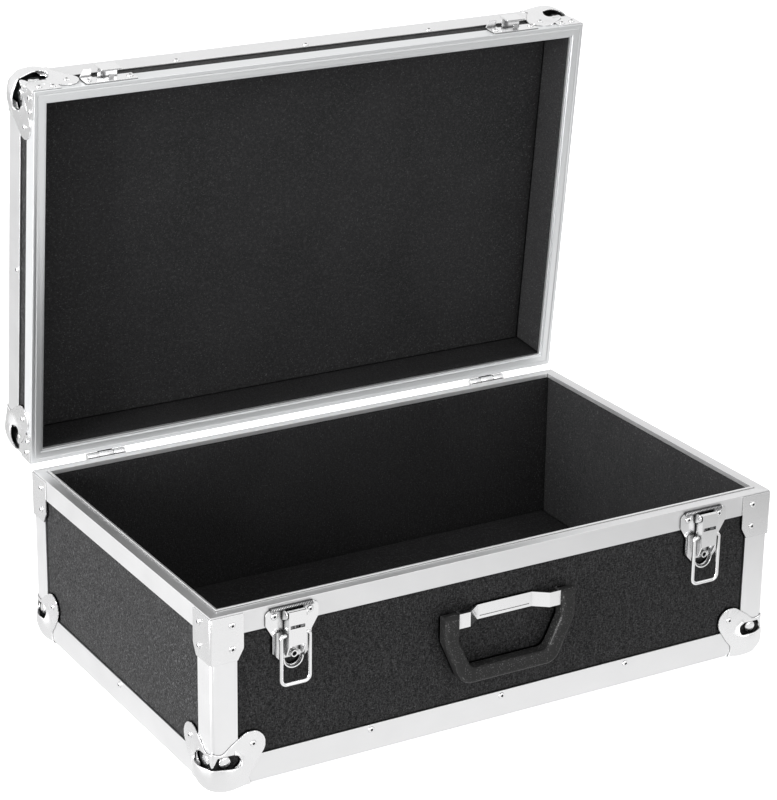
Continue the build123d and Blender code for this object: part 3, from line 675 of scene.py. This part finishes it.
def add_rivet(build, spot, normal, radius, height):
    """One rivet's head in a bmesh, seated at a point and facing along a normal."""
    kind = "tube" if height > TUBE_FROM else "cap" if radius > CAP_FROM else "blind"
    section, dark = RIVETS[kind]
    if kind == "cap":
        radius *= CAP_SPREAD
    turn = Vector((0, 0, 1)).rotation_difference(Vector(normal)).to_matrix()
    rings = []
    for share, rise in section[:-1]:
        ring = []
        for step in range(RIVET_STEPS):
            angle = 2 * math.pi * step / RIVET_STEPS
            x, y = radius * share * math.cos(angle), radius * share * math.sin(angle)
            ring.append(build.verts.new(Vector(spot) + turn @ Vector((x, y, height * rise))))
        rings.append(ring)
    tip = build.verts.new(Vector(spot) + turn @ Vector((0, 0, height * section[-1][1])))
    # Bands from the dark one on take the second material: the broken stem, and painted shade in a pit or bore.
    for band, (outer, inner) in enumerate(zip(rings, rings[1:])):
        for step in range(RIVET_STEPS):
            after = (step + 1) % RIVET_STEPS
            face = build.faces.new((outer[step], outer[after], inner[after], inner[step]))
            face.material_index = int(band >= dark)
    for step in range(RIVET_STEPS):
        face = build.faces.new((rings[-1][step], rings[-1][(step + 1) % RIVET_STEPS], tip))
        face.material_index = int(len(rings) > dark)
    build.faces.new(list(reversed(rings[0])))


def rivets(node, name, body, materials):
    """All the rivets of one body: a head wherever the CAD has one, drawn a little fuller."""
    build = bmesh.new()
    low, high = shut_span(*[member for member in BODIES[body] if member != node])
    middle = (low + high) / 2
    for corner, other in islands(node):
        size = other - corner
        axis = int(np.argmin(size))
        spot = (corner + other) / 2
        side = 1.0 if spot[axis] > middle[axis] else -1.0
        spot[axis] = corner[axis] if side > 0 else other[axis]
        normal = [0.0, 0.0, 0.0]
        normal[axis] = side
        add_rivet(build, spot, normal, np.delete(size, axis).max() / 2, size[axis] * FULLER)
    piece = place(name, finished(name, build), body, "rivet", materials)
    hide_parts(node)


# ---- latch springs: dark coils that paint the shade along the latch plates' top edges ---------------

ROLL_FROM_PIN = Vector((0, 5.75, 3.8)) * MM     # from a lever's pin to the plate's rolled top edge
ROLL_HALF = 20 * MM                             # half the roll's length
COIL_RADIUS = 1.42 * MM                         # to the middle of the wire
COIL_PITCH = 1.5 * MM
COIL_STEPS = 14
WIRE_STEPS = 6


def shade_coil(name, pin, wire, material):
    """A coil of dark wire round the rolled top edge of a latch's plate: painted shade, standing in for the shade
    that falls along that edge.
    """
    middle = Vector(pin) + ROLL_FROM_PIN
    turns = int(2 * ROLL_HALF / COIL_PITCH)
    build = bmesh.new()
    rings = []
    for step in range(turns * COIL_STEPS + 1):
        angle = 2 * math.pi * step / COIL_STEPS
        out = Vector((0, math.cos(angle), math.sin(angle)))
        shift = Vector((COIL_PITCH * step / COIL_STEPS - ROLL_HALF, 0, 0))
        spot = middle + out * COIL_RADIUS + shift
        ring = []
        for side in range(WIRE_STEPS):
            lean = 2 * math.pi * side / WIRE_STEPS
            reach = math.cos(lean) * out + Vector((math.sin(lean), 0, 0))
            ring.append(build.verts.new(spot + wire * reach))
        rings.append(ring)
    for first, second in zip(rings, rings[1:]):
        for side in range(WIRE_STEPS):
            after = (side + 1) % WIRE_STEPS
            build.faces.new((first[side], first[after], second[after], second[side]))
    build.faces.new(rings[0])
    build.faces.new(list(reversed(rings[-1])))
    bmesh.ops.recalc_face_normals(build, faces=build.faces)
    place(name, finished(name, build), "base", "plated_steel", [material], angle=SOFT_FOLD)


# ---- felt -------------------------------------------------------------------------------------------

SLAB_STEP = 6 * MM          # width of a slab's faces
SLAB_ROUND_STEPS = 3        # faces across its rounded edge
DIP_POWER = 4               # how late a pad drops towards its border
RIPPLES = 6
RIPPLE = 0.08               # a ripple's share of the crown


def add_slab(build, low, high, face_axis, sign, rounding, crown, seed):
    """A felt-covered foam sheet in a bmesh: flat where it is glued, soft and crowned where it shows."""
    axes = [axis for axis in range(3) if axis != face_axis]
    size = high - low
    thick = size[face_axis]
    grids = []
    for axis in axes:
        count = max(4, int(size[axis] / SLAB_STEP))
        inner = np.linspace(low[axis] + rounding, high[axis] - rounding, count)
        bend = rounding * (1 - np.cos(np.linspace(0, math.pi / 2, SLAB_ROUND_STEPS + 1)[:-1]))
        grids.append(np.concatenate([low[axis] + bend, inner, (high[axis] - bend)[::-1]]))
    rng = np.random.default_rng(seed)
    waves = rng.uniform(-1, 1, (RIPPLES, 4))
    rows = []
    for u in grids[0]:
        row = []
        for v in grids[1]:
            edge = min(u - low[axes[0]], high[axes[0]] - u, v - low[axes[1]], high[axes[1]] - v)
            fall = rounding - math.sqrt(max(0.0, rounding ** 2 - max(0.0, rounding - edge) ** 2))
            share_u = 2 * (u - low[axes[0]]) / size[axes[0]] - 1
            share_v = 2 * (v - low[axes[1]]) / size[axes[1]] - 1
            dip = crown * max(abs(share_u), abs(share_v)) ** DIP_POWER
            ripple = sum(math.sin((4 + 9 * abs(a)) * share_u * 3 + 6 * b)
                         * math.sin((3 + 8 * abs(c)) * share_v * 3 + 6 * d)
                         for a, b, c, d in waves) * crown * RIPPLE
            spot = [0.0, 0.0, 0.0]
            spot[axes[0]], spot[axes[1]] = u, v
            height = thick - min(fall, thick * 0.9) - dip - abs(ripple)
            spot[face_axis] = low[face_axis] + height if sign > 0 else high[face_axis] - height
            row.append(build.verts.new(spot))
        rows.append(row)
    back = low[face_axis] if sign > 0 else high[face_axis]
    for first, second in zip(rows, rows[1:]):
        for a, b, c, d in zip(first, first[1:], second[1:], second):
            build.faces.new((a, b, c, d))
    right, left = [row[-1] for row in rows[1:]], [row[0] for row in rows[-2:0:-1]]
    rim = rows[0] + right + rows[-1][-2::-1] + left
    lower = []
    for vertex in rim:
        spot = vertex.co.copy()
        spot[face_axis] = back
        lower.append(build.verts.new(spot))
    count = len(rim)
    for i in range(count):
        build.faces.new((rim[i], rim[(i + 1) % count], lower[(i + 1) % count], lower[i]))
    build.faces.new(lower)


def wall_slabs(node):
    """The four walls of a tray's lining: each one's lowest and highest corner, and what it faces."""
    points = node_points(node)
    low, high = points.min(0), points.max(0)
    middle = (low + high) / 2
    inner = np.abs(points - middle).min(0)
    slabs = []
    for axis in range(2):
        for side in (-1, 1):
            near, far = low.copy(), high.copy()
            if axis == 0:
                near[1], far[1] = middle[1] - inner[1], middle[1] + inner[1]
            if side < 0:
                far[axis] = middle[axis] - inner[axis]
            else:
                near[axis] = middle[axis] + inner[axis]
            slabs.append((near, far, axis, -side))
    return slabs


def lining(name, node, body, slabs, rounding, crown, material):
    """One lining piece made of slabs, each with the axis and the direction in which it faces."""
    build = bmesh.new()
    for seed, (low, high, axis, sign) in enumerate(slabs):
        add_slab(build, low, high, axis, sign, rounding, crown, seed)
    bmesh.ops.recalc_face_normals(build, faces=build.faces)
    piece = place(name, finished(name, build), body, "lining", [material], angle=SOFT_FOLD)
    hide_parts(node)


# ---- operators ------------------------------------------------------------------------------------

# Profiles that are drawn along X, Y, Z, X and Y: words in their nodes' names, their share of the
# aluminium's colour and their roughness from and to. The shares paint shade: the same aluminium is set
# darker on the rims than on the edging, and darker on the left and right than at the front and back,
# to take down how bright the lamps make them.
PROFILES = (
    (("edging_front", "edging_back"), 0.95, (0.3, 0.45)),
    (("edging_left", "edging_right"), 0.94, (0.3, 0.45)),
    (("corner_edging",), 1.0, (0.3, 0.45)),
    (("rim_front", "rim_back"), 0.9, (0.36, 0.5)),
    (("rim_left", "rim_right"), 0.86, (0.36, 0.5)),
)

# What the floor gives back to a mirror, by its place: falls along X and Y in metres, each with
# the shares that it runs from and to.
FLOOR_FALLS = (
    ("X", -0.35, -0.25, 0.8, 1.0),
    ("Y", 0.5, 0.8, 1.0, 0.85),
    ("Y", -0.6, -1.0, 1.0, 0.6),
)
FLOOR_CARD = ((0.05, 0.5), (-0.2, -0.5), 0.55)      # a darker card at the front right: X, Y and share
FLOOR_LIGHT = (0.15, 0.7)       # glow of the floor for the case and for the camera

# Where the lamps stand and how wide they are, and what they look at.
KEY_PLACE, KEY_SIZE = (-2.7, -0.3, 0.6), 1.6
FILL_PLACE, FILL_SIZE = (0.6, -2.9, 0.9), 1.8
AIM = (0, 0, 0.2)


class CASE_OT_panels(bpy.types.Operator):
    """Faces the panels with woven-grain laminate"""

    bl_idname = "case.panels"
    bl_label = "Panels"

    def execute(self, context):
        give(named("_panel"), laminate(context.scene.case_finish))
        return {"FINISHED"}


class CASE_OT_lining(bpy.types.Operator):
    """Lines the case with felt-covered foam"""

    bl_idname = "case.lining"
    bl_label = "Lining"

    def execute(self, context):
        sizes = context.scene.case_sizes
        look = (sizes.felt_round, sizes.crown, felt(context.scene.case_finish))
        for body, pad, up in (("base", "base_floor_pad", 1), ("lid", "lid_pad", -1)):
            low, high = shut_span(pad)
            lining(pad.replace("pad", "felt"), pad, body, [(low, high, 2, up)], *look)
            walls = body + "_wall_lining"
            lining(body + "_wall_felt", walls, body, wall_slabs(walls), *look)
        return {"FINISHED"}


class CASE_OT_edging(bpy.types.Operator):
    """Finishes the edging and the rims as drawn aluminium"""

    bl_idname = "case.edging"
    bl_label = "Edging"

    def execute(self, context):
        colour = context.scene.case_finish.aluminium
        for number, (words, tone, rough) in enumerate(PROFILES):
            stretch = [DRAWN] * 3
            stretch[number % 3] = DRAWN_ALONG
            # Painted shade: each profile's aluminium is darkened by its share.
            give(named(*words), metal("aluminium_" + words[0], shade(colour, tone), *rough, stretch))
        soften(named("edging", "rim_", "lid_rim"), PROFILE_BREAK)
        return {"FINISHED"}


class CASE_OT_corners(bpy.types.Operator):
    """Presses the eight ball corners"""

    bl_idname = "case.corners"
    bl_label = "Ball corners"

    def execute(self, context):
        plated = context.scene.case_finish.plated
        # Painted shade in the corners' creases, and painted light in the hollows under the balls, where the steel
        # mirrors less.
        steel = metal("plated_corner", plated, 0.2, 0.32, hollow=9 * MM)
        mesh = BallCorner(context.scene.case_sizes).mesh()
        for node, transform in corner_places():
            name = node.replace("ball_corner", "pressed_corner")
            piece = place(name, mesh, BODY_OF[node], "plated_steel", [steel], transform)
            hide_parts(node)
        return {"FINISHED"}


class CASE_OT_fittings(bpy.types.Operator):
    """Finishes the braces, hinges, latches, rivets and the handle"""

    bl_idname = "case.fittings"
    bl_label = "Fittings"

    def execute(self, context):
        finish = context.scene.case_finish
        give(named("braces", "hinge"), metal("plated", finish.plated, 0.2, 0.32))
        # Painted shade: the chrome's long reach and low floor darken its colour deep in the latches' slots and
        # recesses.
        chrome = metal("chrome", finish.chrome, 0.1, 0.2,
                       crevice=5 * MM, opening=(0.45, 0.9), floor=0.02)
        give(named("latch", "handle_bracket", "handle_studs", "handle_screws"), chrome)
        give(["handle_grip"], moulded(finish))
        soften(named("braces", "leaves", "latch_plate", "latch_catches"), FITTING_BREAK)
        # The second material colours the broken stems and paints the shade in the rivets' pits and bores.
        heads = [metal("rivet_steel", finish.plated, 0.14, 0.24), oxide_and_shade(finish)]
        rivets("base_rivets", "base_blind_rivets", "base", heads)
        rivets("lid_rivets", "lid_blind_rivets", "lid", heads)
        # Painted shade: dark coils along the latch plates' top edges stand in for the shade that falls there.
        dark_steel = metal("shade_coil_steel", shade(finish.oxide_and_shade, 2.2), 0.25, 0.4)
        wire = context.scene.case_sizes.shade_coil_wire
        for side in ("left", "right"):
            shade_coil("latch_shade_coil_" + side, JOINTS[side + "_lever_pivot"]["pos_m"], wire, dark_steel)
        return {"FINISHED"}


class CASE_OT_studio(bpy.types.Operator):
    """Sets up the floor, the lamps, the world and the camera"""

    bl_idname = "case.studio"
    bl_label = "Studio"

    def execute(self, context):
        studio = context.scene.case_studio
        scene = context.scene
        scene.view_settings.view_transform = "Standard"
        self.floor(scene, studio.room)
        self.world(scene, studio.sky, studio.room)
        self.lamp(scene, "key_lamp", KEY_PLACE, studio.key, KEY_SIZE)
        self.lamp(scene, "fill_lamp", FILL_PLACE, studio.fill, FILL_SIZE)
        data = bpy.data.cameras.new("camera")
        data.lens = studio.lens
        data.sensor_width = 36
        data.clip_end = 50
        camera = bpy.data.objects.new("camera", data)
        camera.location = studio.camera_place
        camera.rotation_euler = Euler(studio.camera_turn, "XYZ")
        scene.collection.objects.link(camera)
        scene.camera = camera
        return {"FINISHED"}

    def floor(self, scene, room):
        """A pale floor: it takes the shadow, and the camera sees it brighter than the case does."""
        build = bmesh.new()
        bmesh.ops.create_grid(build, x_segments=8, y_segments=8, size=8)
        mesh = finished("floor", build)
        s = Surface("floor", (0.85, 0.85, 0.85), 0, 1.0, 0.0)
        s.shader.inputs["Emission Color"].default_value = (1, 1, 1, 1)
        path = s.nodes.new("ShaderNodeLightPath")
        light = s.ranged(path.outputs["Is Camera Ray"], 0.0, 1.0, *FLOOR_LIGHT)
        s.feed(light, s.shader.inputs["Emission Strength"])
        spot = s.add("ShaderNodeSeparateXYZ", s.place)
        card_x, card_y, share = FLOOR_CARD
        card = s.maths("MULTIPLY", s.ranged(spot.outputs["X"], *card_x),
                       s.ranged(spot.outputs["Y"], *card_y))
        glow = s.ranged(card, 0.0, 1.0, room, share * room)
        for axis, *fall in FLOOR_FALLS:
            glow = s.maths("MULTIPLY", glow, s.ranged(spot.outputs[axis], *fall))
        mirrored = s.nodes.new("ShaderNodeEmission")
        s.feed(glow, mirrored.inputs["Strength"])
        mix = s.add("ShaderNodeMixShader", path.outputs["Is Glossy Ray"],
                    s.shader.outputs[0], mirrored.outputs[0])
        s.links.new(mix.outputs[0], s.nodes["Material Output"].inputs["Surface"])
        mesh.materials.append(s.material)
        floor = bpy.data.objects.new("floor", mesh)
        scene.collection.objects.link(floor)

    def world(self, scene, sky, room):
        """White where the camera looks, bright where the metal mirrors it, softer as light."""
        world = bpy.data.worlds.new("studio")
        scene.world = world
        world.use_nodes = True
        nodes, links = world.node_tree.nodes, world.node_tree.links
        path = nodes.new("ShaderNodeLightPath")
        glossy = nodes.new("ShaderNodeMapRange")
        seen = nodes.new("ShaderNodeMapRange")
        glossy.inputs["To Min"].default_value = sky
        glossy.inputs["To Max"].default_value = room
        seen.inputs["To Max"].default_value = 1.0
        links.new(path.outputs["Is Glossy Ray"], glossy.inputs["Value"])
        links.new(path.outputs["Is Camera Ray"], seen.inputs["Value"])
        links.new(glossy.outputs["Result"], seen.inputs["To Min"])
        ambient = nodes["Background"]
        ambient.inputs["Color"].default_value = (1, 1, 1, 1)
        links.new(seen.outputs["Result"], ambient.inputs["Strength"])

    def lamp(self, scene, name, spot, power, size):
        data = bpy.data.lights.new(name, "AREA")
        data.energy = power
        data.size = size
        lamp = bpy.data.objects.new(name, data)
        lamp.location = spot
        aim = Vector(AIM) - lamp.location
        lamp.rotation_euler = aim.to_track_quat("-Z", "Y").to_euler()
        scene.collection.objects.link(lamp)


class CASE_PT_panel(bpy.types.Panel):
    """Lists the case's operators"""

    bl_label = "Pedal case"
    bl_idname = "CASE_PT_panel"
    bl_space_type = "VIEW_3D"
    bl_region_type = "UI"
    bl_category = "Case"

    def draw(self, context):
        for operator in OPERATORS:
            self.layout.operator(operator.bl_idname)
        for group in (context.scene.case_finish, context.scene.case_sizes, context.scene.case_studio):
            for word in group.__annotations__:
                self.layout.prop(group, word)


OPERATORS = (
    CASE_OT_panels, CASE_OT_lining, CASE_OT_edging, CASE_OT_corners, CASE_OT_fittings, CASE_OT_studio)
CLASSES = (CaseFinish, CaseSizes, CaseStudio, *OPERATORS, CASE_PT_panel)


def register():
    for cls in CLASSES:
        bpy.utils.register_class(cls)
    bpy.types.Scene.case_finish = PointerProperty(type=CaseFinish)
    bpy.types.Scene.case_sizes = PointerProperty(type=CaseSizes)
    bpy.types.Scene.case_studio = PointerProperty(type=CaseStudio)


def unregister():
    del bpy.types.Scene.case_studio
    del bpy.types.Scene.case_sizes
    del bpy.types.Scene.case_finish
    for cls in reversed(CLASSES):
        bpy.utils.unregister_class(cls)


def main():
    register()
    bpy.ops.case.panels()
    bpy.ops.case.lining()
    bpy.ops.case.edging()
    bpy.ops.case.corners()
    bpy.ops.case.fittings()
    bpy.ops.case.studio()


if __name__ == "__main__":
    main()
